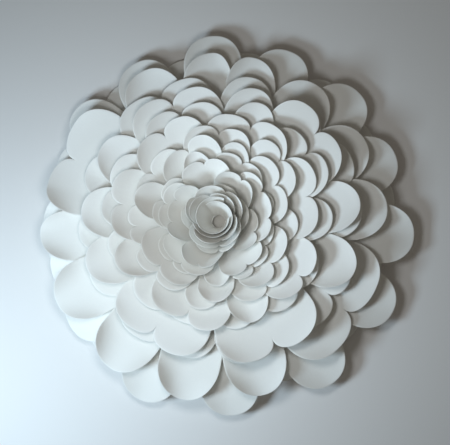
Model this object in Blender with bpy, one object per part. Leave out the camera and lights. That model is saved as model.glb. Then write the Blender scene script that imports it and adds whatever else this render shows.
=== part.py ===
"""Giant paper flower: rows of cupped paper petals glued on a round backing board, around a rolled centre.

The flower lies on its back. The origin is the middle of the board's back face and +Z is the flower's axis.
Azimuths run anticlockwise from +X, seen from the front. Lengths are in metres and angles in degrees, unless
a name says otherwise. Each row is a cone of petals with a fold at its foot; behind the fold a flat strip is
glued on the strip of the row before.
"""

import math
from collections import namedtuple

import bmesh
import bpy
from mathutils import Vector

# Sheet stock
PAPER = 0.0004  # thickness of the card that everything but the board is cut from
GLUE_GAP = 0.0003  # left between two glued faces
SLIT = 0.0026  # cut out between two petals at their folds
BOARD_THICKNESS = 0.003
BOARD_MARGIN = 0.004  # board showing outside the outermost fold

GLUE_LAP = 0.0027  # width that the strips of two rows share

# How a petal is cut and cupped
OVER_LAP = 0.22  # how far a top edge lies over its neighbour, as a share of the petal's half sector
UNDER_LAP = 0.15  # how far an edge is tucked under its neighbour
OVER_CURL = 0.84  # share of the free room below the next row that a top edge curls up through
UNDER_CURL = 0.27
DEEPEST_CUP = 0.60  # most room that the curl goes by, as a share of half the petal's width
FULL_WIDTH_FROM = 0.70  # share of the way to the shoulder where a petal has spread over its sector
TIP_LENGTH = 1.05  # length of the rounded tip, as a share of half the petal's width
TIP_BLUNTNESS = 2.3  # 2 makes an elliptical tip, more makes it blunter
SPREAD_BLEND = 8  # how sharply the sides turn parallel where the petal reaches its full width
NOTCH_DEPTH = 0.60  # depth of the notch between two lobes, as a share of half the petal's width
OUTER_DROOP = 0.015  # how much the longest petals hang down at their tips; all sheets bend alike
DROOP_FROM, DROOP_TO = 0.080, 0.250  # radii where the drooping starts and where it has that depth
TOP_EDGE_TURN = 60.0  # top edges are the anticlockwise ones on the side of the flower at this azimuth
TOP_EDGE_SHIFT = 17.0  # that side turns this much from row to row

# Rolled strips in the middle
ROLL_INNER_FOOT = 0.0080  # radius of the innermost end, where it stands on the last row's strip
ROLL_OUTER_FOOT = 0.0115
ROLL_OPENING = 2.45  # how many times wider the roll is at the top
ROLL_HEIGHT = 0.060
ROLL_DIP = 0.005  # how much lower the inner end of a strip stands

# Fineness of the sheets
ACROSS = tuple(math.sin(math.radians(turn)) for turn in (-90, -54, -18, 18, 54, 90))
ALONG = (0.5, 1.0)
FEW_PETALS = 6  # a row of this many petals or fewer has two straight folds to a petal
BOARD_SIDES = 48
ROLL_SEGMENTS = 26

CARD_COLOUR = (0.91, 0.895, 0.855, 1.0)
BOARD_COLOUR = (0.78, 0.74, 0.68, 1.0)

# A row of petals: the radius of its fold, its slope, how far its tips reach from the axis, the widest that a
# petal may be, its sheets, each petal's azimuth, and how many millimetres single petals reach further. A sheet
# is written as the petals that it has side by side: 1 is a single petal and 2 is a petal with two lobes.
RowPlan = namedtuple("RowPlan", "fold rise reach width sheets azimuths extra_mm")

ROW_PLANS = (
    RowPlan(0.0800, 5, 0.235, 0.080, ((1, 2, 1), (1, 1, 2), (2, 1, 1), (1, 1, 1)),
            (8, 31, 49, 79, 103, 127, 150, 169, 188, 207, 227, 260, 296, 320, 344),
            (0, 0, 6, 0, -5, 2, 1, 3, 3, 1, 3, 2, -5, -4, -12)),
    RowPlan(0.0755, 9, 0.250, 0.080, ((1, 1, 1, 1), (1, 2, 1), (2, 1, 1), (1, 1, 1)),
            (20, 42, 67, 92, 118, 142, 158, 179, 196, 216, 246, 274, 305, 332, 355),
            (0, 4, -1, 4, -3, 1, -14, -11, -14, -6, 8, 6, 10, 8, 8)),
    RowPlan(0.0710, 13, 0.231, 0.084, ((1, 1, 1, 1), (1, 1, 2), (1, 1, 1, 1), (1, 2)),
            (4, 28, 53, 78, 92, 117, 145, 168, 184, 207, 233, 259, 285, 311, 338),
            (-8, -10, -8, -7, -4, -3, 5, 5, 9, 10, 10, 8, 5, 0, -5)),
    RowPlan(0.0665, 17.5, 0.190, 0.072, ((2, 1, 1), (2, 1, 1), (1, 2), (1, 2)),
            (3, 26, 49, 76, 103, 127, 158, 184, 206, 232, 258, 281, 317, 335),
            (0, 4, 3, 5, 5, 5, -1, -4, -5, -3, -6, 0, 2, 1)),
    RowPlan(0.0620, 22, 0.185, 0.074, ((1, 2, 1), (2, 1, 1), (1, 2), (2, 1)),
            (6, 30, 51, 72, 100, 122, 147, 176, 200, 228, 253, 283, 307, 339),
            (3, 2, 7, -5, -6, -3, -3, -5, -3, -4, 0, 7, 9, 7)),
    RowPlan(0.0575, 26.5, 0.152, 0.062, ((1, 2, 1), (2, 2), (1, 2), (1, 2)),
            (0, 25, 46, 68, 98, 120, 152, 174, 194, 227, 254, 282, 309, 330),
            (-1, 9, 4, 10, 4, 7, 2, 1, -5, -6, -11, -7, -3, -3)),
    RowPlan(0.0530, 31, 0.142, 0.062, ((2, 2), (2, 2), (1, 2), (1, 2)),
            (0, 27, 54, 84, 110, 133, 160, 181, 204, 240, 267, 291, 317, 334),
            (-8, 0, 2, -3, 1, 0, 2, -3, 1, -3, 5, 1, 3, 2)),
    RowPlan(0.0485, 35.5, 0.117, 0.052, ((2, 2), (2, 2), (2, 1), (2, 1)),
            (31, 53, 75, 101, 131, 157, 178, 191, 208, 234, 259, 296, 318, 354),
            (3, 7, 3, 7, -2, -3, -1, -2, -1, -5, 2, 2, 2, -10)),
    RowPlan(0.0440, 40, 0.105, 0.050, ((2, 1), (2, 1), (2, 1), (2,)),
            (13, 46, 74, 98, 126, 163, 204, 235, 270, 306, 336),
            (-8, 0, -2, 7, -1, 5, 0, -2, 4, 4, -5)),
    RowPlan(0.0390, 44, 0.084, 0.040, ((1, 2), (1, 2), (2, 1), (3,)),
            (18, 49, 80, 109, 145, 174, 211, 236, 272, 297, 318, 345),
            (-6, 2, 4, 8, -2, 1, 1, 0, 4, 4, 0, -6)),
    RowPlan(0.0340, 48, 0.077, 0.038, ((3,), (2,), (2,), (2,), (2,)),
            (345, 16, 46, 88, 116, 147, 178, 212, 252, 290, 318),
            (-2, -3, 1, 2, 2, 0, -1, 1, 3, 2, 0)),
    RowPlan(0.0285, 53, 0.066, 0.038, ((2,), (2,), (3,), (2,)),
            (325, 357, 39, 73, 140, 168, 200, 236, 263),
            (-4, -10, -1, 0, 2, -2, 3, 5, 3)),
    RowPlan(0.0215, 60, 0.046, 0.046, ((2,), (2,), (2,)),
            (10, 82, 132, 175, 252, 296),
            (-2, 0, -2, 1, 0, -1)),
    RowPlan(0.0175, 67, 0.041, 0.046, ((3,), (2,)),
            (31, 108, 161, 225, 330),
            (0, 1, 2, 0, -1)),
    RowPlan(0.0135, 72.5, 0.034, 0.042, ((2,), (2,)),
            (60, 150, 240, 330),
            (-2, 0, 1, -1)),
)
# The rolled strips: azimuth of the inner end, and where it starts and ends between the roll's inner radius
# and its outer radius
RollPlan = namedtuple("RollPlan", "inner_azimuth turns start end")
ROLL_PLANS = (RollPlan(360, 0.83, 0.0, 0.87), RollPlan(124, 0.80, 0.16, 1.0))

Row = namedtuple("Row", "plan fold_radius height rise tip shoulder")
Cone = namedtuple("Cone", "fold_radius rise")
Lobe = namedtuple("Lobe", "azimuth length place places sides")
Side = namedtuple("Side", "joined sector edge lap curl")


def all_rows():
    """Each row with its fold radius, the height of its glued strip, its slope, and where its tips begin."""
    rows = []
    for number, plan in enumerate(ROW_PLANS):
        height = BOARD_THICKNESS + GLUE_GAP + PAPER / 2 + number * (PAPER + GLUE_GAP)
        rise = math.radians(plan.rise)
        tip = TIP_LENGTH * plan.width / 2
        rows.append(Row(plan, plan.fold, height, rise, tip, (plan.reach - plan.fold) / math.cos(rise) - tip))
    return rows


def lobes_of(row, number):
    """The lobes of a row. Each fills its sector, which ends half-way to its two neighbours.

    On a side that is joined to the next lobe, the edge is the bottom of the notch. On a free side it is the
    shoulder, and the petal goes a lap further than its sector.
    """
    plan = row.plan
    count = len(plan.azimuths)
    lengths = [(plan.reach + extra / 1000 - plan.fold) / math.cos(row.rise) for extra in plan.extra_mm]
    places = [(place, petal) for sheet in plan.sheets for petal in sheet for place in range(petal)]
    turn = TOP_EDGE_TURN + TOP_EDGE_SHIFT * number
    lobes = []
    for i, (place, petal) in enumerate(places):
        sides = []
        for direction in (-1, 1):
            next_to = (i + direction) % count
            half = direction * (plan.azimuths[next_to] - plan.azimuths[i]) % 360 / 2
            joined = 0 <= place + direction < petal
            faces_turn = math.cos(math.radians(plan.azimuths[i] + direction * half - turn)) > 0
            lap, curl = (OVER_LAP, OVER_CURL) if faces_turn == (direction > 0) else (UNDER_LAP, UNDER_CURL)
            edge = lengths[i] - row.tip
            if joined:
                edge = min(lengths[i], lengths[next_to]) - NOTCH_DEPTH * plan.width / 2
            sides.append(Side(joined, math.radians(half), edge, lap, curl))
        lobes.append(Lobe(math.radians(plan.azimuths[i]), lengths[i], place, petal, sides))
    return lobes


def lobe_point(row, above, lobe, petal_sides, across, along):
    """A point of a lobe's middle surface: across runs from -1 to 1, along from 0 at the fold to 1 at the tip.

    The petal spreads over its sector and the lap in an S-curve until it has its full width, ends in blunt
    rounded tips, and curls up with the square of the distance from the petal's middle. All sheets hang down
    alike towards the outside, so the nesting stays.
    """
    side = lobe.sides[1 if across > 0 else 0]
    tip_shape = (1 - abs(across) ** TIP_BLUNTNESS) ** (1 / TIP_BLUNTNESS)
    slant = along * (side.edge + (lobe.length - side.edge) * tip_shape)
    out = row.fold_radius + slant * math.cos(row.rise)
    reached = min(1.0, slant / row.shoulder)
    most_width = row.plan.width / 2
    if side.joined:
        half_width = side.sector * out
    else:
        spread = min(1.0, reached / FULL_WIDTH_FROM)
        at_fold = side.sector - SLIT / 2 / row.fold_radius
        turn = at_fold + ((1 + side.lap) * side.sector - at_fold) * spread ** 2 * (3 - 2 * spread)
        free_width = turn * (row.fold_radius + min(slant, row.shoulder) * math.cos(row.rise))
        half_width = free_width * (1 + (free_width / most_width) ** SPREAD_BLEND) ** (-1 / SPREAD_BLEND)
    from_middle = (2 * lobe.place + 1 + across) / lobe.places - 1
    curl = petal_sides[1 if from_middle > 0 else 0].curl
    room = slant * math.tan(above.rise - row.rise)
    room += reached * (2 - reached) * (row.fold_radius - above.fold_radius) * math.sin(above.rise)
    lift = curl * min(room, DEEPEST_CUP * most_width) * from_middle ** 2
    azimuth = lobe.azimuth + across * half_width / out
    radius = out - lift * math.sin(row.rise)
    height = row.height + slant * math.sin(row.rise) + lift * math.cos(row.rise)
    height -= OUTER_DROOP * (max(0.0, radius - DROOP_FROM) / (DROOP_TO - DROOP_FROM)) ** 2
    return Vector((radius * math.cos(azimuth), radius * math.sin(azimuth), height))


def petal_sheet(name, row, above, petals):
    """Neighbouring petals cut from one sheet, joined by the flat strip behind their folds."""
    bm = bmesh.new()
    fold_places = (-1.0, 0.0, 1.0) if len(row.plan.azimuths) <= FEW_PETALS else (-1.0, 1.0)
    fold = []
    for lobes in petals:
        petal_sides = lobes[0].sides[0], lobes[-1].sides[1]
        last_column = None
        for lobe in lobes:
            levels = [(0.0, fold_places)] + [(along, ACROSS) for along in ALONG]
            rows_up = []
            for level, (along, places) in enumerate(levels):
                shared = [last_column[level]] if last_column else []
                rows_up.append(shared + [bm.verts.new(lobe_point(row, above, lobe, petal_sides, across, along))
                                         for across in places[len(shared):]])
            bm.faces.new(rows_up[0] + rows_up[1][::-1])
            for low, high in zip(rows_up[1:], rows_up[2:]):
                for corner in zip(low, low[1:], high[1:], high):
                    bm.faces.new(corner)
            fold += rows_up[0][1 if last_column else 0:]
            last_column = [verts[-1] for verts in rows_up]
    strip_radius = above.fold_radius - GLUE_LAP
    trim = SLIT / 2 / strip_radius - SLIT / 2 / row.fold_radius
    strip_edge = []
    for vert in fold:
        azimuth = math.atan2(vert.co.y, vert.co.x)
        azimuth += trim if vert is fold[0] else -trim if vert is fold[-1] else 0.0
        place = (strip_radius * math.cos(azimuth), strip_radius * math.sin(azimuth), row.height)
        strip_edge.append(bm.verts.new(place))
    bm.faces.new(strip_edge + fold[::-1])
    return card_object(name, bm)


def roll_cone():
    """The cone that the roll's outer side lies on."""
    spread = ROLL_OUTER_FOOT * (ROLL_OPENING - 1)
    return Cone(ROLL_OUTER_FOOT, math.atan2(ROLL_HEIGHT, spread))


def centre_roll(name, foot_height, plan):
    """A strip rolled to a cone that opens upwards. Its inner end stands a little lower."""
    bm = bmesh.new()
    lines = []
    for share in (0.0, 1.0):
        line = []
        for i in range(ROLL_SEGMENTS + 1):
            turned = i / ROLL_SEGMENTS
            height = share * (ROLL_HEIGHT - ROLL_DIP * (1 - turned))
            outwards = plan.start + (plan.end - plan.start) * turned
            radius = ROLL_INNER_FOOT + (ROLL_OUTER_FOOT - ROLL_INNER_FOOT) * outwards
            radius *= 1 + (ROLL_OPENING - 1) * height / ROLL_HEIGHT
            azimuth = math.radians(plan.inner_azimuth - 360 * plan.turns * turned)
            place = (radius * math.cos(azimuth), radius * math.sin(azimuth), foot_height + height)
            line.append(bm.verts.new(place))
        lines.append(line)
    for corner in zip(lines[0], lines[0][1:], lines[1][1:], lines[1]):
        bm.faces.new(corner)
    return card_object(name, bm)


def card_object(name, bm):
    """Turns a middle surface into an object that has the card's thickness."""
    bmesh.ops.triangulate(bm, faces=bm.faces[:])
    bmesh.ops.recalc_face_normals(bm, faces=bm.faces[:])
    obj = mesh_object(name, bm, "white_card", CARD_COLOUR, 0.75)
    solidify = obj.modifiers.new("card thickness", "SOLIDIFY")
    solidify.thickness = PAPER
    solidify.offset = 0.0
    solidify.use_even_offset = True
    solidify.use_quality_normals = True
    return obj


def backing_board():
    """The round board that carries the first row's strips."""
    bm = bmesh.new()
    bmesh.ops.create_circle(bm, cap_ends=True, radius=ROW_PLANS[0].fold + BOARD_MARGIN, segments=BOARD_SIDES)
    raised = bmesh.ops.extrude_face_region(bm, geom=bm.faces[:])
    top = [item for item in raised["geom"] if isinstance(item, bmesh.types.BMVert)]
    bmesh.ops.translate(bm, verts=top, vec=(0, 0, BOARD_THICKNESS))
    bmesh.ops.recalc_face_normals(bm, faces=bm.faces[:])
    return mesh_object("backing_board", bm, "board", BOARD_COLOUR, 0.9)


def mesh_object(name, bm, material_name, colour, roughness):
    """Puts a finished mesh in the scene, with the material of that name."""
    material = bpy.data.materials.get(material_name)
    if material is None:
        material = bpy.data.materials.new(material_name)
        material.use_nodes = True
        shader = material.node_tree.nodes["Principled BSDF"]
        shader.inputs["Base Color"].default_value = colour
        shader.inputs["Roughness"].default_value = roughness
        shader.inputs["Metallic"].default_value = 0.0
    mesh = bpy.data.meshes.new(name)
    bm.to_mesh(mesh)
    bm.free()
    mesh.materials.append(material)
    obj = bpy.data.objects.new(name, mesh)
    bpy.context.scene.collection.objects.link(obj)
    return obj


def main():
    for obj in list(bpy.data.objects):
        bpy.data.objects.remove(obj)
    backing_board()
    rows = all_rows()
    for number, (row, above) in enumerate(zip(rows, rows[1:] + [roll_cone()])):
        lobes = iter(lobes_of(row, number))
        for sheet, petals in enumerate(row.plan.sheets):
            name = f"row{number + 1:02d}_petals_{sheet + 1}"
            petal_sheet(name, row, above, [[next(lobes) for _ in range(petal)] for petal in petals])
    foot_height = rows[-1].height + PAPER + GLUE_GAP
    for number, plan in enumerate(ROLL_PLANS):
        centre_roll(f"centre_roll_{number + 1}", foot_height, plan)


main()
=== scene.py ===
"""Giant paper flower: nested rows of cupped white card petals around a rolled centre, on a round board.

The flower lies on its back. Azimuths run anticlockwise from +X, seen from the front, and the origin is the
middle of the board's back face. Lengths are in metres.
"""

import math
from collections import namedtuple

import bpy
import numpy as np
from bpy.props import FloatProperty, FloatVectorProperty, IntProperty, PointerProperty
from bpy.types import Operator, Panel, PropertyGroup
from mathutils import Matrix, Vector


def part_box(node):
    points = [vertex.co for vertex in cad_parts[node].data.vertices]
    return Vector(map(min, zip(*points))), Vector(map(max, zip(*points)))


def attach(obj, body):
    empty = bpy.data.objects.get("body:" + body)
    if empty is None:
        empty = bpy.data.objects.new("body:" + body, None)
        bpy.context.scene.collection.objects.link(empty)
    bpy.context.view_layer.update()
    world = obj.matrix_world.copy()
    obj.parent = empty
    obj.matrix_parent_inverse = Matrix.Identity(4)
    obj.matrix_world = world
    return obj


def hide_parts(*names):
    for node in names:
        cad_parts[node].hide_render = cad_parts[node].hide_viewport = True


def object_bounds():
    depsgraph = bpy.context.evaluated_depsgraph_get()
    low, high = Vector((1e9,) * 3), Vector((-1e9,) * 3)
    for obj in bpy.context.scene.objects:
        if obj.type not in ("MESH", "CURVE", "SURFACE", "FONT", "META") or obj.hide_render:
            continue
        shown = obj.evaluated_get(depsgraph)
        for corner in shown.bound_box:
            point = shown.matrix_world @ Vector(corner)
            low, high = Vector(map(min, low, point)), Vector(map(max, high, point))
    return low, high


bl_info = {
    "name": "Giant paper flower",
    "version": (1, 0, 0),
    "blender": (4, 5, 0),
    "location": "View3D > Sidebar > Paper Flower",
    "description": "Cuts, cups and nests the card petals of a giant paper flower",
    "category": "Add Mesh",
}

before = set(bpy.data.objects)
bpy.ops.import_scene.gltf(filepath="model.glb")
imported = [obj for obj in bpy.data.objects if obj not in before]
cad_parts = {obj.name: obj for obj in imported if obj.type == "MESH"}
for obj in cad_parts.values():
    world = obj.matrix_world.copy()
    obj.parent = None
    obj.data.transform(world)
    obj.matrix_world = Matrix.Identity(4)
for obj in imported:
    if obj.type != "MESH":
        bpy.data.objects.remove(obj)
CAD_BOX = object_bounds()
BOARD_LOW, BOARD_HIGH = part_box("backing_board")

# A row of petals: the radius of its fold, its slope in degrees, how far its tips reach from the axis, the
# widest that a petal may be, its sheets, each lobe's azimuth in degrees, and how many millimetres single
# lobes reach further. A sheet is written as the petals that it has side by side, each as the number of its
# lobes.
RowPlan = namedtuple("RowPlan", "fold rise reach width sheets azimuths extra_mm")
ROW_PLANS = (
    RowPlan(0.0800, 5, 0.235, 0.080, ((1, 2, 1), (1, 1, 2), (2, 1, 1), (1, 1, 1)),
            (8, 31, 49, 79, 103, 127, 150, 169, 188, 207, 227, 260, 296, 320, 344),
            (0, 0, 6, 0, -5, 2, 1, 3, 3, 1, 3, 2, -5, -4, -12)),
    RowPlan(0.0755, 9, 0.250, 0.080, ((1, 1, 1, 1), (1, 2, 1), (2, 1, 1), (1, 1, 1)),
            (20, 42, 67, 92, 118, 142, 158, 179, 196, 216, 246, 274, 305, 332, 355),
            (0, 4, -1, 4, -3, 1, -14, -11, -14, -6, 8, 6, 10, 8, 8)),
    RowPlan(0.0710, 13, 0.231, 0.084, ((1, 1, 1, 1), (1, 1, 2), (1, 1, 1, 1), (1, 2)),
            (4, 28, 53, 78, 92, 117, 145, 168, 184, 207, 233, 259, 285, 311, 338),
            (-8, -10, -8, -7, -4, -3, 5, 5, 9, 10, 10, 8, 5, 0, -5)),
    RowPlan(0.0665, 17.5, 0.190, 0.072, ((2, 1, 1), (2, 1, 1), (1, 2), (1, 2)),
            (3, 26, 49, 76, 103, 127, 158, 184, 206, 232, 258, 281, 317, 335),
            (0, 4, 3, 5, 5, 5, -1, -4, -5, -3, -6, 0, 2, 1)),
    RowPlan(0.0620, 22, 0.185, 0.074, ((1, 2, 1), (2, 1, 1), (1, 2), (2, 1)),
            (6, 30, 51, 72, 100, 122, 147, 176, 200, 228, 253, 283, 307, 339),
            (3, 2, 7, -5, -6, -3, -3, -5, -3, -4, 0, 7, 9, 7)),
    RowPlan(0.0575, 26.5, 0.152, 0.062, ((1, 2, 1), (2, 2), (1, 2), (1, 2)),
            (0, 25, 46, 68, 98, 120, 152, 174, 194, 227, 254, 282, 309, 330),
            (-1, 9, 4, 10, 4, 7, 2, 1, -5, -6, -11, -7, -3, -3)),
    RowPlan(0.0530, 31, 0.142, 0.062, ((2, 2), (2, 2), (1, 2), (1, 2)),
            (0, 27, 54, 84, 110, 133, 160, 181, 204, 240, 267, 291, 317, 334),
            (-8, 0, 2, -3, 1, 0, 2, -3, 1, -3, 5, 1, 3, 2)),
    RowPlan(0.0485, 35.5, 0.117, 0.052, ((2, 2), (2, 2), (2, 1), (2, 1)),
            (31, 53, 75, 101, 131, 157, 178, 191, 208, 234, 259, 296, 318, 354),
            (3, 7, 3, 7, -2, -3, -1, -2, -1, -5, 2, 2, 2, -10)),
    RowPlan(0.0440, 40, 0.105, 0.050, ((2, 1), (2, 1), (2, 1), (2,)),
            (13, 46, 74, 98, 126, 163, 204, 235, 270, 306, 336),
            (-8, 0, -2, 7, -1, 5, 0, -2, 4, 4, -5)),
    RowPlan(0.0390, 44, 0.084, 0.040, ((1, 2), (1, 2), (2, 1), (3,)),
            (18, 49, 80, 109, 145, 174, 211, 236, 272, 297, 318, 345),
            (-6, 2, 4, 8, -2, 1, 1, 0, 4, 4, 0, -6)),
    RowPlan(0.0340, 48, 0.077, 0.038, ((3,), (2,), (2,), (2,), (2,)),
            (345, 16, 46, 88, 116, 147, 178, 212, 252, 290, 318),
            (-2, -3, 1, 2, 2, 0, -1, 1, 3, 2, 0)),
    RowPlan(0.0285, 53, 0.066, 0.038, ((2,), (2,), (3,), (2,)),
            (325, 357, 39, 73, 140, 168, 200, 236, 263),
            (-4, -10, -1, 0, 2, -2, 3, 5, 3)),
    RowPlan(0.0215, 60, 0.046, 0.046, ((2,), (2,), (2,)),
            (10, 82, 132, 175, 252, 296),
            (-2, 0, -2, 1, 0, -1)),
    RowPlan(0.0175, 67, 0.041, 0.046, ((3,), (2,)),
            (31, 108, 161, 225, 330),
            (0, 1, 2, 0, -1)),
    RowPlan(0.0135, 72.5, 0.034, 0.042, ((2,), (2,)),
            (60, 150, 240, 330),
            (-2, 0, 1, -1)),
)
# A rolled strip: azimuth of its inner end, its turns, and where it starts and ends between the roll's inner
# and outer radius
RollPlan = namedtuple("RollPlan", "inner_azimuth turns start end")
ROLL_PLANS = (RollPlan(360, 0.83, 0.0, 0.87), RollPlan(124, 0.80, 0.16, 1.0))

# Shares of a petal's length where its last points lie, close together for the turned-down edge
EDGE_SHARES = (0.991, 0.996, 1)
# Distance between the sheets of two rows on the flat UV map
SHEET_SPACING = 0.3
# A sheet's faces that meet at more than this angle are shaded with a sharp edge
SHARP_ANGLE = math.radians(40)
# Seeds of the random draws: how far those of two rows lie apart, and what a petal's tone adds to its own
ROW_SEEDS = 100
TONE_SEED = 7

Row = namedtuple("Row", "number plan fold_radius height rise tip shoulder most_width cover")
Cone = namedtuple("Cone", "fold_radius rise")
Lobe = namedtuple("Lobe", "azimuth length place places joined sectors edges laps curls seed")


class FlowerCard(PropertyGroup):
    """The card that the flower is cut from, and the finish of its board."""

    thickness: FloatProperty(name="Card thickness", description="Thickness of every petal", default=0.0004,
                             unit="LENGTH")
    colour: FloatVectorProperty(name="Card colour", description="Colour of the white card", subtype="COLOR",
                                size=3, default=(0.91, 0.895, 0.855), min=0, max=1)
    shade: FloatVectorProperty(name="Fibre colour", description="Colour of the card's darker fibres",
                               subtype="COLOR", size=3, default=(0.86, 0.835, 0.78), min=0, max=1)
    roughness: FloatProperty(name="Card roughness", description="How matte the card is", default=0.72)
    tooth: FloatProperty(name="Tooth depth", description="Depth of the card's fine tooth", default=0.00004,
                         unit="LENGTH")
    unevenness: FloatProperty(name="Unevenness", description="How far a hand-rolled petal strays from its "
                              "shape", default=0.0007, unit="LENGTH")
    board_colour: FloatVectorProperty(name="Board colour", description="Colour of the lighter parts of the "
                                      "board", subtype="COLOR", size=3, default=(0.80, 0.76, 0.69), min=0,
                                      max=1)
    board_flecks: FloatVectorProperty(name="Board flecks", description="Colour of the board's darker "
                                      "flecks", subtype="COLOR", size=3, default=(0.60, 0.55, 0.48), min=0,
                                      max=1)
    board_roughness: FloatProperty(name="Board roughness", description="How matte the board is",
                                   default=0.9)


class FlowerRows(PropertyGroup):
    """Where the rows are folded and how their petals are cupped."""

    glue_lap: FloatProperty(name="Glue lap", description="Width that the strips of two rows share",
                            default=0.0027, unit="LENGTH")
    glue_gap: FloatProperty(name="Glue gap", description="Room left between two glued faces",
                            default=0.0003, unit="LENGTH")
    slit: FloatProperty(name="Slit", description="Cut out between two petals at their folds",
                        default=0.0026, unit="LENGTH")
    over_lap: FloatProperty(name="Top edge lap", description="How far a top edge lies over its neighbour, "
                            "as a share of the petal's half sector", default=0.22)
    under_lap: FloatProperty(name="Tucked edge lap", description="How far an edge is tucked under its "
                             "neighbour", default=0.15)
    over_curl: FloatProperty(name="Top edge curl", description="Share of the free room that a top edge "
                             "curls up through", default=0.84)
    under_curl: FloatProperty(name="Tucked edge curl", description="The same for a tucked edge",
                              default=0.27)
    deepest_cup: FloatProperty(name="Deepest cup", description="Most room that the curl goes by, as a "
                               "share of half the petal's width", default=0.60)
    bare_cup: FloatProperty(name="Bare cup", description="How much more a petal's sides rise where no row "
                            "covers them", default=0.40)
    tip_turn: FloatProperty(name="Tip turn", description="How much the tip turns up there", default=0.06)
    full_width_from: FloatProperty(name="Full width from", description="Share of the way to the shoulder "
                                   "where a petal has spread over its sector", default=0.70)
    tip_length: FloatProperty(name="Tip length", description="Length of the rounded tip, as a share of "
                              "half the petal's width", default=1.05)
    tip_bluntness: FloatProperty(name="Tip bluntness", description="2 makes an elliptical tip, more a "
                                 "blunter one", default=2.3)
    spread_blend: FloatProperty(name="Spread blend", description="How sharply the sides turn parallel "
                                "where the petal reaches its full width", default=8.0)
    notch_depth: FloatProperty(name="Notch depth", description="Depth of the notch between two lobes, as a "
                               "share of half the petal's width", default=0.60)
    droop: FloatProperty(name="Droop", description="How much the longest petals hang down at their tips",
                         default=0.015, unit="LENGTH")
    droop_from: FloatProperty(name="Droop from", description="Radius where the drooping starts",
                              default=0.080, unit="LENGTH")
    droop_to: FloatProperty(name="Droop to", description="Radius where it has that depth", default=0.250,
                            unit="LENGTH")
    top_edge_turn: FloatProperty(name="Top edge side", description="Top edges are the anticlockwise ones "
                                 "on this side of the flower", subtype="ANGLE", default=math.radians(60))
    top_edge_shift: FloatProperty(name="Top edge shift", description="How far that side turns from row to "
                                  "row", subtype="ANGLE", default=math.radians(17))
    cut_edge: FloatProperty(name="Cut edge", description="Width of the edge that cutting turns down",
                            default=0.0011, unit="LENGTH")
    cut_edge_drop: FloatProperty(name="Cut edge drop", description="How far it is turned down",
                                 default=0.0004, unit="LENGTH")
    cut_edge_from: FloatProperty(name="Cut edge from", description="Share of the way to the shoulder where "
                                 "it is turned down fully", default=0.25)
    across: IntProperty(name="Steps across", description="Faces across a petal", default=24)
    along: IntProperty(name="Steps along", description="Faces along a petal", default=20)


class FlowerRoll(PropertyGroup):
    """The two strips that are rolled up in the middle."""

    inner_foot: FloatProperty(name="Inner foot", description="Radius of the innermost end at the foot",
                              default=0.0080, unit="LENGTH")
    outer_foot: FloatProperty(name="Outer foot", description="Radius of the outermost turn at the foot",
                              default=0.0115, unit="LENGTH")
    opening: FloatProperty(name="Opening", description="How many times wider the roll is at the top",
                           default=2.45)
    height: FloatProperty(name="Height", description="Height of the roll", default=0.060, unit="LENGTH")
    dip: FloatProperty(name="Dip", description="How much lower the inner end of a strip stands",
                       default=0.005, unit="LENGTH")
    flat_length: FloatProperty(name="Flat length", description="Length of a strip on the flat UV map",
                               default=0.15, unit="LENGTH")
    steps: IntProperty(name="Steps", description="Faces along a rolled strip", default=140)
    levels: IntProperty(name="Levels", description="Faces up a rolled strip", default=24)


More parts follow.
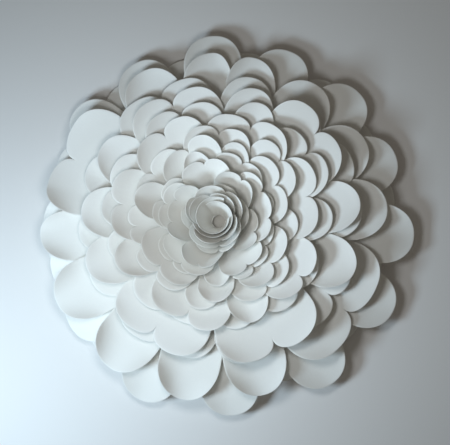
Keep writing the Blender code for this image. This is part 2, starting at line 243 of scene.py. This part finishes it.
class FlowerStage(PropertyGroup):
    """Floor, lights and camera."""

    floor_colour: FloatVectorProperty(name="Floor colour", description="Colour of the plain floor",
                                      subtype="COLOR", size=3, default=(0.85, 0.82, 0.79), min=0, max=1)
    floor_roughness: FloatProperty(name="Floor roughness", description="How matte the floor is",
                                   default=0.9)
    floor_reach: FloatProperty(name="Floor reach", description="From the middle of the floor to its sides",
                               default=20.0, unit="LENGTH")
    window_colour: FloatVectorProperty(name="Window colour", description="Colour of the soft light from "
                                       "the side", subtype="COLOR", size=3, default=(0.63, 0.83, 1.0),
                                       min=0, max=1)
    window_power: FloatProperty(name="Window light", description="Power of the soft light from the side, "
                                "in watts", default=3.45)
    window_azimuth: FloatProperty(name="Window azimuth", description="Side that the soft light comes from",
                                  subtype="ANGLE", default=math.radians(212))
    window_height: FloatProperty(name="Window height", description="Angle of the soft light above the "
                                 "floor", subtype="ANGLE", default=math.radians(40))
    window_distance: FloatProperty(name="Window distance", description="From the flower to the soft light",
                                   default=0.72, unit="LENGTH")
    window_size: FloatProperty(name="Window size", description="Side of the square soft light",
                               default=0.17, unit="LENGTH")
    ceiling_colour: FloatVectorProperty(name="Ceiling colour", description="Colour of the soft light "
                                        "overhead", subtype="COLOR", size=3, default=(0.90, 0.96, 1.0),
                                        min=0, max=1)
    ceiling_power: FloatProperty(name="Ceiling light", description="Power of the soft light overhead, in "
                                 "watts", default=0.5)
    ceiling_azimuth: FloatProperty(name="Ceiling azimuth", description="Side that the light overhead is "
                                   "nearer to", subtype="ANGLE", default=math.radians(225))
    ceiling_height: FloatProperty(name="Ceiling height", description="Angle of the light overhead above "
                                  "the floor", subtype="ANGLE", default=math.radians(80))
    ceiling_distance: FloatProperty(name="Ceiling distance", description="From the flower to the light "
                                    "overhead", default=0.4, unit="LENGTH")
    ceiling_size: FloatProperty(name="Ceiling size", description="Side of the square light overhead",
                                default=0.12, unit="LENGTH")
    room_colour: FloatVectorProperty(name="Room colour", description="Colour of the light from all around",
                                     subtype="COLOR", size=3, default=(1.0, 0.94, 0.84), min=0, max=1)
    room_light: FloatProperty(name="Room light", description="Strength of the light from all around",
                              default=0.12)
    camera_azimuth: FloatProperty(name="Camera azimuth", description="Azimuth that the camera stands at",
                                  subtype="ANGLE", default=math.radians(-45))
    camera_elevation: FloatProperty(name="Camera elevation", description="Angle of the camera above the "
                                    "floor", subtype="ANGLE", default=math.radians(82))
    camera_distance: FloatProperty(name="Camera distance", description="From the camera to the flower",
                                   default=1.33, unit="LENGTH")
    aim_x: FloatProperty(name="Aim X", description="From the flower's axis to the point that the camera "
                         "looks at", default=0.0095, unit="LENGTH")
    aim_y: FloatProperty(name="Aim Y", description="The same along Y", default=-0.0025, unit="LENGTH")
    frame_width: FloatProperty(name="Frame width", description="Width that the picture takes in at the "
                               "flower", default=0.596, unit="LENGTH")


class Signal:
    """A socket of a node tree. Arithmetic on signals adds Math nodes."""

    def __init__(self, tree, socket):
        self.tree = tree
        self.socket = socket

    def maths(self, operation, first, second):
        node = add_node(self.tree, "ShaderNodeMath", {"operation": operation}, {0: first, 1: second})
        return Signal(self.tree, node.outputs[0])

    def __add__(self, other):
        return self.maths("ADD", self, other)

    def __mul__(self, other):
        return self.maths("MULTIPLY", self, other)


def add_node(tree, kind, settings, values):
    """Adds a node, makes its settings, then gives its sockets their values or links."""
    node = tree.nodes.new(kind)
    for name, setting in settings.items():
        setattr(node, name, setting)
    for name, value in values.items():
        if isinstance(value, Signal):
            tree.links.new(value.socket, node.inputs[name])
        else:
            node.inputs[name].default_value = value
    return node


def signal(tree, kind, settings, values, output):
    """One output of a new node, as a signal."""
    return Signal(tree, add_node(tree, kind, settings, values).outputs[output])


def new_finish(name, roughness):
    """A new material, with its tree and shader."""
    material = bpy.data.materials.new(name)
    material.use_nodes = True
    tree = material.node_tree
    shader = tree.nodes["Principled BSDF"]
    shader.inputs["Roughness"].default_value = roughness
    shader.inputs["Metallic"].default_value = 0.0
    return material, tree, shader


def white_card():
    """Matte white card: fine tooth, darker fibres, faint roll marks and a tone of its own on each petal."""
    found = bpy.data.materials.get("matte white card")
    if found:
        return found
    card = bpy.context.scene.flower_card
    material, tree, shader = new_finish("matte white card", card.roughness)
    place = signal(tree, "ShaderNodeTexCoord", {}, {}, "Object")
    sheet = signal(tree, "ShaderNodeTexCoord", {}, {}, "UV")
    tone = signal(tree, "ShaderNodeAttribute", {"attribute_name": "tone"}, {}, "Fac")
    tooth = signal(tree, "ShaderNodeTexNoise", {}, {"Vector": place, "Scale": 1400.0, "Detail": 3.0,
                                                    "Roughness": 0.6}, "Fac")
    fibres = signal(tree, "ShaderNodeTexNoise", {}, {"Vector": place, "Scale": 420.0, "Detail": 4.0,
                                                     "Roughness": 0.55, "Distortion": 0.8}, "Fac")
    cloud = signal(tree, "ShaderNodeTexNoise", {}, {"Vector": place, "Scale": 24.0, "Detail": 2.0}, "Fac")
    # Rolling leaves faint bands that run along the petal, so the pattern is stretched along the sheet
    stretched = signal(tree, "ShaderNodeMapping", {}, {"Vector": sheet, "Scale": (260.0, 9.0, 1.0)}, "Vector")
    bands = signal(tree, "ShaderNodeTexNoise", {}, {"Vector": stretched, "Scale": 1.0, "Detail": 2.0}, "Fac")
    darker = fibres * 0.35 + cloud * 0.35 + tone * 0.3
    colour = signal(tree, "ShaderNodeMix", {"data_type": "RGBA"},
                    {"Factor": darker, 6: (*card.colour, 1), 7: (*card.shade, 1)}, 2)
    height = tooth * 0.5 + fibres * 0.5
    fine = signal(tree, "ShaderNodeBump", {}, {"Strength": 0.5, "Distance": card.tooth, "Height": height},
                  "Normal")
    rolled = signal(tree, "ShaderNodeBump", {}, {"Strength": 0.35, "Distance": 0.0002, "Height": bands,
                                                 "Normal": fine}, "Normal")
    tree.links.new(colour.socket, shader.inputs["Base Color"])
    tree.links.new(rolled.socket, shader.inputs["Normal"])
    return material


def grey_board():
    """Rough grey board with flecks and a soft uneven tint."""
    card = bpy.context.scene.flower_card
    material, tree, shader = new_finish("rough grey board", card.board_roughness)
    place = signal(tree, "ShaderNodeTexCoord", {}, {}, "Object")
    flecks = signal(tree, "ShaderNodeTexNoise", {}, {"Vector": place, "Scale": 700.0, "Detail": 5.0}, "Fac")
    cloud = signal(tree, "ShaderNodeTexNoise", {}, {"Vector": place, "Scale": 30.0, "Detail": 2.0}, "Fac")
    mixed = flecks * 0.7 + cloud * 0.3
    colour = signal(tree, "ShaderNodeMix", {"data_type": "RGBA"},
                    {"Factor": mixed, 6: (*card.board_flecks, 1), 7: (*card.board_colour, 1)}, 2)
    bump = signal(tree, "ShaderNodeBump", {}, {"Strength": 0.6, "Distance": 0.0001, "Height": flecks},
                  "Normal")
    tree.links.new(colour.socket, shader.inputs["Base Color"])
    tree.links.new(bump.socket, shader.inputs["Normal"])
    return material


def flower_rows():
    """Each row with its fold, the height of its glued strip, its slope, the length of its tips, the shoulder
    where they start, half its petals' greatest width, and how far the rows above cover it."""
    card = bpy.context.scene.flower_card
    rows = bpy.context.scene.flower_rows
    reaches = [plan.reach + max(plan.extra_mm) / 1000 for plan in ROW_PLANS]
    found = []
    for number, plan in enumerate(ROW_PLANS):
        height = BOARD_HIGH[2] + rows.glue_gap + card.thickness / 2
        height += number * (card.thickness + rows.glue_gap)
        rise = math.radians(plan.rise)
        tip = rows.tip_length * plan.width / 2
        shoulder = (plan.reach - plan.fold) / math.cos(rise) - tip
        cover = max(reaches[number + 1:], default=plan.reach)
        found.append(Row(number, plan, plan.fold, height, rise, tip, shoulder, plan.width / 2, cover))
    return found


def petals_of(row):
    """The petals of each sheet of a row, every petal as a list of its lobes.

    A lobe fills its sector, which ends half-way to its two neighbours. On a side that is joined to the next
    lobe, the edge is the bottom of the notch. On a free side it is the shoulder, and the petal goes a lap
    further than its sector.
    """
    rows = bpy.context.scene.flower_rows
    plan = row.plan
    azimuths = np.radians(plan.azimuths)
    lengths = (plan.reach + np.array(plan.extra_mm) / 1000 - plan.fold) / math.cos(row.rise)
    petals = [petal for sheet in plan.sheets for petal in sheet]
    place = np.concatenate([np.arange(petal) for petal in petals])
    places = np.repeat(petals, petals)
    before, after = np.roll(azimuths, 1), np.roll(azimuths, -1)
    sectors = np.stack(((azimuths - before) % math.tau, (after - azimuths) % math.tau)) / 2
    joined = np.stack((place > 0, place < places - 1))
    shorter = np.minimum(lengths, np.stack((np.roll(lengths, 1), np.roll(lengths, -1))))
    edges = np.where(joined, shorter - rows.notch_depth * row.most_width, lengths - row.tip)
    turn = rows.top_edge_turn + rows.top_edge_shift * row.number
    faces_turn = np.cos(azimuths + np.array([[-1], [1]]) * sectors - turn) > 0
    on_top = faces_turn == np.array([[False], [True]])
    laps = np.where(on_top, rows.over_lap, rows.under_lap)
    curls = np.where(on_top, rows.over_curl, rows.under_curl)
    sheets = []
    first = 0
    for sheet in plan.sheets:
        sheets.append([])
        for petal in sheet:
            last = first + petal - 1
            ends = np.array((curls[0, first], curls[1, last]))
            sheets[-1].append([Lobe(azimuths[i], lengths[i], place[i], petal, joined[:, i], sectors[:, i],
                                    edges[:, i], laps[:, i], ends, row.number * ROW_SEEDS + first)
                               for i in range(first, last + 1)])
            first = last + 1
    return sheets


def lobe_grid(row, above, lobe, across, along):
    """Middle surface of a lobe as a grid of points.

    Across the lobe u runs from -1 to 1, along it v from 0 to 1. A point lies v S(u) from the fold, where S
    is the edge's distance plus the rest of the length times (1 - |u|^p)^(1/p), a blunt tip. The petal
    spreads over its sector and the lap in an S-curve until it has its full width. The surface lifts off the
    row's cone by a share of the room below the next row times the square of the distance from the petal's
    middle. Beyond the rows that cover it, its sides rise further by the power 1.5 of the distance from the
    cover, and its tip by the square. A few slow waves make it uneven. Outwards all petals hang down by the
    square of the radius beyond where the drooping starts, so they stay nested. Cutting has turned the very
    edge down, but not at the fold.
    """
    rows = bpy.context.scene.flower_rows
    u = across[None, :]
    v = along[:, None]
    side = (u > 0).astype(int)
    joined, sector, edge, lap = lobe.joined[side], lobe.sectors[side], lobe.edges[side], lobe.laps[side]
    tip_shape = np.maximum(0, 1 - np.abs(u) ** rows.tip_bluntness) ** (1 / rows.tip_bluntness)
    full_length = edge + (lobe.length - edge) * tip_shape
    slant = v * full_length
    out = row.fold_radius + slant * math.cos(row.rise)
    reached = np.minimum(1, slant / row.shoulder)
    spread = np.minimum(1, reached / rows.full_width_from)
    at_fold = sector - rows.slit / 2 / row.fold_radius
    turn = at_fold + ((1 + lap) * sector - at_fold) * spread ** 2 * (3 - 2 * spread)
    free_width = turn * (row.fold_radius + np.minimum(slant, row.shoulder) * math.cos(row.rise))
    blend = rows.spread_blend
    half_width = free_width * (1 + (free_width / row.most_width) ** blend) ** (-1 / blend)
    half_width = np.where(joined, sector * out, half_width)
    from_middle = (2 * lobe.place + 1 + u) / lobe.places - 1
    curl = lobe.curls[(from_middle > 0).astype(int)]
    room = slant * math.tan(above.rise - row.rise)
    room = room + reached * (2 - reached) * (row.fold_radius - above.fold_radius) * math.sin(above.rise)
    lift = curl * np.minimum(room, rows.deepest_cup * row.most_width) * from_middle ** 2
    bare = np.maximum(0, out - row.cover) / row.most_width
    lift = lift + rows.bare_cup * row.most_width * bare ** 1.5 * from_middle ** 2
    lift = lift + rows.tip_turn * row.most_width * bare ** 2
    lift = lift + slow_waves(lobe.seed, from_middle, slant / row.shoulder)
    azimuth = lobe.azimuth + u * half_width / out
    radius = out - lift * math.sin(row.rise)
    height = row.height + slant * math.sin(row.rise) + lift * math.cos(row.rise)
    drooped = np.maximum(0, radius - rows.droop_from) / (rows.droop_to - rows.droop_from)
    height = height - rows.droop * drooped ** 2
    from_side = np.where(joined, rows.cut_edge, (1 - np.abs(u)) * half_width)
    from_edge = np.minimum((1 - v) * full_length, from_side)
    turned_down = np.maximum(0, 1 - from_edge / rows.cut_edge) * np.minimum(1, reached / rows.cut_edge_from)
    height = height - rows.cut_edge_drop * turned_down ** 2
    return np.stack((radius * np.cos(azimuth), radius * np.sin(azimuth), height), axis=-1)


def slow_waves(seed, across, along):
    """Slow waves along and across a petal and a slow twist, nothing at the fold and strongest at the tip."""
    random = np.random.default_rng(seed)
    phases = random.uniform(0, math.tau, 3)
    sizes = random.uniform(0.4, 1.0, 3) * random.choice((-1, 1), 3)
    paths = (4.0 * along + 1.5 * across, 7.0 * along - 2.5 * across, 6.0 * across * along)
    shares = (1.0, 0.6, 0.4)
    waves = sum(share * size * np.sin(path + phase)
                for share, size, path, phase in zip(shares, sizes, paths, phases))
    return bpy.context.scene.flower_card.unevenness * np.minimum(1, along) ** 2 * waves / sum(shares)


def grid_faces(first, rows, columns):
    """The four corners of each face of a grid whose points are numbered row by row from first."""
    corner = first + np.arange(rows - 1)[:, None] * columns + np.arange(columns - 1)[None, :]
    return np.stack((corner, corner + 1, corner + columns + 1, corner + columns), axis=-1).reshape(-1, 4)


def grid_normals(points):
    """Unit normals of a grid, from its slopes along and across."""
    normals = np.cross(np.gradient(points, axis=1), np.gradient(points, axis=0))
    return normals / np.linalg.norm(normals, axis=-1, keepdims=True)


def card_piece(name, points, normals, flat, faces, tone):
    """A closed mesh of card: the sheet moved half its thickness to each side, and a rim round its edge."""
    thickness = bpy.context.scene.flower_card.thickness
    count = len(points)
    vertices = np.concatenate((points + normals * thickness / 2, points - normals * thickness / 2))
    edges = np.concatenate([faces[:, [i, (i + 1) % 4]] for i in range(4)])
    key = np.sort(edges, axis=1)
    _, where, uses = np.unique(key, axis=0, return_inverse=True, return_counts=True)
    start, end = edges[uses[where.reshape(-1)] == 1].T
    rim = np.stack((end, start, start + count, end + count), axis=1)
    quads = np.concatenate((faces, faces[:, ::-1] + count, rim))
    mesh = mesh_from_quads(name, vertices, quads)
    give_values(mesh, quads, np.concatenate((flat, flat)), np.concatenate((tone, tone)))
    mesh.set_sharp_from_angle(angle=SHARP_ANGLE)
    return place_piece(name, mesh, white_card())


def mesh_from_quads(name, vertices, quads):
    """A smooth-shaded mesh from an array of points and an array of four-cornered faces."""
    mesh = bpy.data.meshes.new(name)
    mesh.vertices.add(len(vertices))
    mesh.vertices.foreach_set("co", vertices.astype(np.float32).ravel())
    mesh.loops.add(quads.size)
    mesh.loops.foreach_set("vertex_index", quads.astype(np.int32).ravel())
    mesh.polygons.add(len(quads))
    mesh.polygons.foreach_set("loop_start", np.arange(0, quads.size, 4, dtype=np.int32))
    mesh.update(calc_edges=True)
    mesh.validate()
    mesh.shade_smooth()
    return mesh


def give_values(mesh, quads, flat, tone):
    """Each corner's place on the flat sheet as the UV map, and each point's tone."""
    uv = mesh.uv_layers.new(name="sheet")
    uv.uv.foreach_set("vector", flat[quads.ravel()].astype(np.float32).ravel())
    shade = mesh.attributes.new("tone", "FLOAT", "POINT")
    shade.data.foreach_set("value", tone.astype(np.float32))


def place_piece(name, mesh, material):
    """Puts a mesh in the scene, with its material."""
    mesh.materials.append(material)
    piece = bpy.data.objects.new(name, mesh)
    bpy.context.scene.collection.objects.link(piece)
    return piece


def petal_sheet(row, above, petals, name):
    """Neighbouring petals of one sheet: a grid for each, and the flat strip behind their folds."""
    rows = bpy.context.scene.flower_rows
    across = np.sin(np.linspace(-math.pi / 2, math.pi / 2, rows.across + 1))
    along = np.append(np.linspace(0, 1, rows.along + 1)[:-1], EDGE_SHARES)
    strip_radius = above.fold_radius - rows.glue_lap
    trim = rows.slit / 2 / strip_radius - rows.slit / 2 / row.fold_radius
    all_points, all_normals, all_flat, all_faces, all_tone = [], [], [], [], []
    first = 0
    for i, lobes in enumerate(petals):
        grids = [lobe_grid(row, above, lobe, across, along) for lobe in lobes]
        points = np.concatenate([grids[0]] + [grid[:, 1:] for grid in grids[1:]], axis=1)
        azimuth = np.arctan2(points[0, :, 1], points[0, :, 0])
        azimuth[0] += trim if i == 0 else 0
        azimuth[-1] -= trim if i == len(petals) - 1 else 0
        strip = np.stack((strip_radius * np.cos(azimuth), strip_radius * np.sin(azimuth), points[0, :, 2]),
                         axis=-1)
        points = np.concatenate((strip[None], points))
        levels, columns = points.shape[:2]
        normals = grid_normals(points)
        normals[0] = (0, 0, 1)
        radius = np.hypot(points[..., 0], points[..., 1])
        turned = np.arctan2(points[..., 1], points[..., 0]) - lobes[0].azimuth
        turned = (turned + math.pi) % math.tau - math.pi
        flat = np.stack((turned * radius + row.number * SHEET_SPACING, radius / math.cos(row.rise)), axis=-1)
        all_points.append(points.reshape(-1, 3))
        all_normals.append(normals.reshape(-1, 3))
        all_flat.append(flat.reshape(-1, 2))
        all_faces.append(grid_faces(first, levels, columns))
        tone = np.random.default_rng(lobes[0].seed + TONE_SEED).uniform(0, 1)
        all_tone.append(np.full(levels * columns, tone))
        if i:
            all_faces.append(np.array([[before, first, first + columns, before + before_columns]]))
        before, before_columns = first + columns - 1, columns
        first += levels * columns
    return card_piece(name, np.concatenate(all_points), np.concatenate(all_normals), np.concatenate(all_flat),
                      np.concatenate(all_faces), np.concatenate(all_tone))


def roll_cone():
    """The cone that the roll's outer side lies on."""
    roll = bpy.context.scene.flower_roll
    return Cone(roll.outer_foot, math.atan2(roll.height, roll.outer_foot * (roll.opening - 1)))


def rolled_strip(name, foot_height, plan, seed):
    """A strip rolled to a cone: the radius grows evenly with the turn, and with the height by the opening."""
    roll = bpy.context.scene.flower_roll
    turned = np.linspace(0, 1, roll.steps + 1)[None, :]
    share = np.linspace(0, 1, roll.levels + 1)[:, None]
    height = share * (roll.height - roll.dip * (1 - turned))
    wound = plan.start + (plan.end - plan.start) * turned
    radius = roll.inner_foot + (roll.outer_foot - roll.inner_foot) * wound
    radius = radius * (1 + (roll.opening - 1) * height / roll.height)
    azimuth = math.radians(plan.inner_azimuth) - math.tau * plan.turns * turned
    points = np.stack((radius * np.cos(azimuth), radius * np.sin(azimuth), foot_height + height), axis=-1)
    flat = np.stack((0 * height + turned * roll.flat_length, height), axis=-1)
    faces = grid_faces(0, len(share), turned.size)
    tone = np.full(points.shape[0] * points.shape[1], np.random.default_rng(seed).uniform(0, 1))
    return card_piece(name, points.reshape(-1, 3), grid_normals(points).reshape(-1, 3), flat.reshape(-1, 2),
                      faces, tone)


def stand_for(piece, node):
    """The piece rides on the flower's one body and stands for the CAD node."""
    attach(piece, "root")
    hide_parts(node)


def make_rows(numbers):
    """Cuts and cups the sheets of the rows with these numbers, counted from 1 outside."""
    rows = flower_rows()
    cones = rows[1:] + [roll_cone()]
    for number in numbers:
        row, above = rows[number - 1], cones[number - 1]
        for sheet, petals in enumerate(petals_of(row)):
            node = f"row{number:02d}_petals_{sheet + 1}"
            stand_for(petal_sheet(row, above, petals, f"card_{node}"), node)


class FLOWER_OT_outer_petals(Operator):
    """Makes the three rows of large petals round the outside"""

    bl_idname = "flower.outer_petals"
    bl_label = "Outer petals"

    def execute(self, context):
        make_rows(range(1, 4))
        return {"FINISHED"}


class FLOWER_OT_middle_petals(Operator):
    """Makes the two nested pairs of rows between the outside and the middle"""

    bl_idname = "flower.middle_petals"
    bl_label = "Middle petals"

    def execute(self, context):
        make_rows(range(4, 8))
        return {"FINISHED"}


class FLOWER_OT_inner_petals(Operator):
    """Makes the steep rows of small petals round the rosette"""

    bl_idname = "flower.inner_petals"
    bl_label = "Inner petals"

    def execute(self, context):
        make_rows(range(8, 13))
        return {"FINISHED"}


class FLOWER_OT_rosette(Operator):
    """Makes the nearly upright petals that curl round the roll"""

    bl_idname = "flower.rosette"
    bl_label = "Rosette petals"

    def execute(self, context):
        make_rows(range(13, 16))
        return {"FINISHED"}


class FLOWER_OT_rolled_centre(Operator):
    """Makes the two strips that are rolled into each other in the middle"""

    bl_idname = "flower.rolled_centre"
    bl_label = "Rolled centre"

    def execute(self, context):
        card, rows = context.scene.flower_card, context.scene.flower_rows
        foot_height = flower_rows()[-1].height + card.thickness + rows.glue_gap
        for number, plan in enumerate(ROLL_PLANS):
            node = f"centre_roll_{number + 1}"
            stand_for(rolled_strip(f"card_{node}", foot_height, plan, number), node)
        return {"FINISHED"}


class FLOWER_OT_backing_board(Operator):
    """Gives the round backing board its grey board finish"""

    bl_idname = "flower.backing_board"
    bl_label = "Backing board"

    def execute(self, context):
        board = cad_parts["backing_board"]
        board.data.materials.clear()
        board.data.materials.append(grey_board())
        return {"FINISHED"}


class FLOWER_OT_stage(Operator):
    """Sets up the floor, the soft lights and the camera"""

    bl_idname = "flower.stage"
    bl_label = "Stage"

    def execute(self, context):
        stage = context.scene.flower_stage
        lay_floor(stage)
        light_room(stage)
        hang_light("window light", stage.window_colour, stage.window_power, stage.window_azimuth,
                   stage.window_height, stage.window_distance, stage.window_size)
        hang_light("ceiling light", stage.ceiling_colour, stage.ceiling_power, stage.ceiling_azimuth,
                   stage.ceiling_height, stage.ceiling_distance, stage.ceiling_size)
        set_camera(stage)
        context.scene.view_settings.view_transform = "Standard"
        return {"FINISHED"}


def lay_floor(stage):
    """A plain square floor under the board."""
    corners = stage.floor_reach * np.array([(-1, -1, 0), (1, -1, 0), (1, 1, 0), (-1, 1, 0)])
    mesh = mesh_from_quads("floor", corners, np.array([[0, 1, 2, 3]]))
    material, _, shader = new_finish("plain floor", stage.floor_roughness)
    shader.inputs["Base Color"].default_value = (*stage.floor_colour, 1)
    place_piece("floor", mesh, material)


def light_room(stage):
    """Even, slightly warm light from all around."""
    world = bpy.data.worlds.new("room")
    bpy.context.scene.world = world
    world.use_nodes = True
    background = world.node_tree.nodes["Background"]
    background.inputs["Color"].default_value = (*stage.room_colour, 1)
    background.inputs["Strength"].default_value = stage.room_light


def direction(azimuth, height):
    """The unit vector with this azimuth and this angle above the floor."""
    return Vector((math.cos(height) * math.cos(azimuth), math.cos(height) * math.sin(azimuth),
                   math.sin(height)))


def hang_light(name, colour, power, azimuth, height, distance, size):
    """A square soft light that looks at the flower."""
    lamp = bpy.data.lights.new(name, "AREA")
    lamp.shape = "SQUARE"
    lamp.size = size
    lamp.energy = power
    lamp.color = colour
    light = bpy.data.objects.new(name, lamp)
    bpy.context.scene.collection.objects.link(light)
    towards = direction(azimuth, height)
    light.matrix_world = facing(towards * distance, towards)


def facing(place, back):
    """A matrix that puts a lamp or camera at a place, looking against back with +Y up in its picture."""
    back = back.normalized()
    up = Vector((0, 1, 0))
    up = (up - back * up.dot(back)).normalized()
    right = up.cross(back)
    turned = Matrix((right, up, back)).transposed()
    return Matrix.Translation(place) @ turned.to_4x4()


def set_camera(stage):
    """Looks down on the flower from a little to its lower right."""
    data = bpy.data.cameras.new("camera")
    data.sensor_fit = "HORIZONTAL"
    data.angle = 2 * math.atan(stage.frame_width / 2 / stage.camera_distance)
    camera = bpy.data.objects.new("camera", data)
    bpy.context.scene.collection.objects.link(camera)
    back = direction(stage.camera_azimuth, stage.camera_elevation)
    aim = Vector((stage.aim_x, stage.aim_y, CAD_BOX[1][2] / 3))
    camera.matrix_world = facing(aim + back * stage.camera_distance, back)
    bpy.context.scene.camera = camera


class FLOWER_PT_panel(Panel):
    """Lists the flower's pieces in the sidebar"""

    bl_idname = "FLOWER_PT_panel"
    bl_label = "Paper Flower"
    bl_space_type = "VIEW_3D"
    bl_region_type = "UI"
    bl_category = "Paper Flower"

    def draw(self, context):
        for operator in OPERATORS:
            self.layout.operator(operator.bl_idname)
        for group in ("flower_card", "flower_rows", "flower_roll", "flower_stage"):
            box = self.layout.box()
            settings = getattr(context.scene, group)
            for name in settings.__annotations__:
                box.prop(settings, name)


GROUPS = {"flower_card": FlowerCard, "flower_rows": FlowerRows, "flower_roll": FlowerRoll,
          "flower_stage": FlowerStage}
OPERATORS = (FLOWER_OT_backing_board, FLOWER_OT_outer_petals, FLOWER_OT_middle_petals, FLOWER_OT_inner_petals,
             FLOWER_OT_rosette, FLOWER_OT_rolled_centre, FLOWER_OT_stage)


def register():
    for cls in (*GROUPS.values(), *OPERATORS, FLOWER_PT_panel):
        bpy.utils.register_class(cls)
    for name, group in GROUPS.items():
        setattr(bpy.types.Scene, name, PointerProperty(type=group))


def unregister():
    for name in GROUPS:
        delattr(bpy.types.Scene, name)
    for cls in (FLOWER_PT_panel, *reversed(OPERATORS), *reversed(GROUPS.values())):
        bpy.utils.unregister_class(cls)


def main():
    register()
    bpy.ops.flower.backing_board()
    bpy.ops.flower.outer_petals()
    bpy.ops.flower.middle_petals()
    bpy.ops.flower.inner_petals()
    bpy.ops.flower.rosette()
    bpy.ops.flower.rolled_centre()
    bpy.ops.flower.stage()


if __name__ == "__main__":
    main()
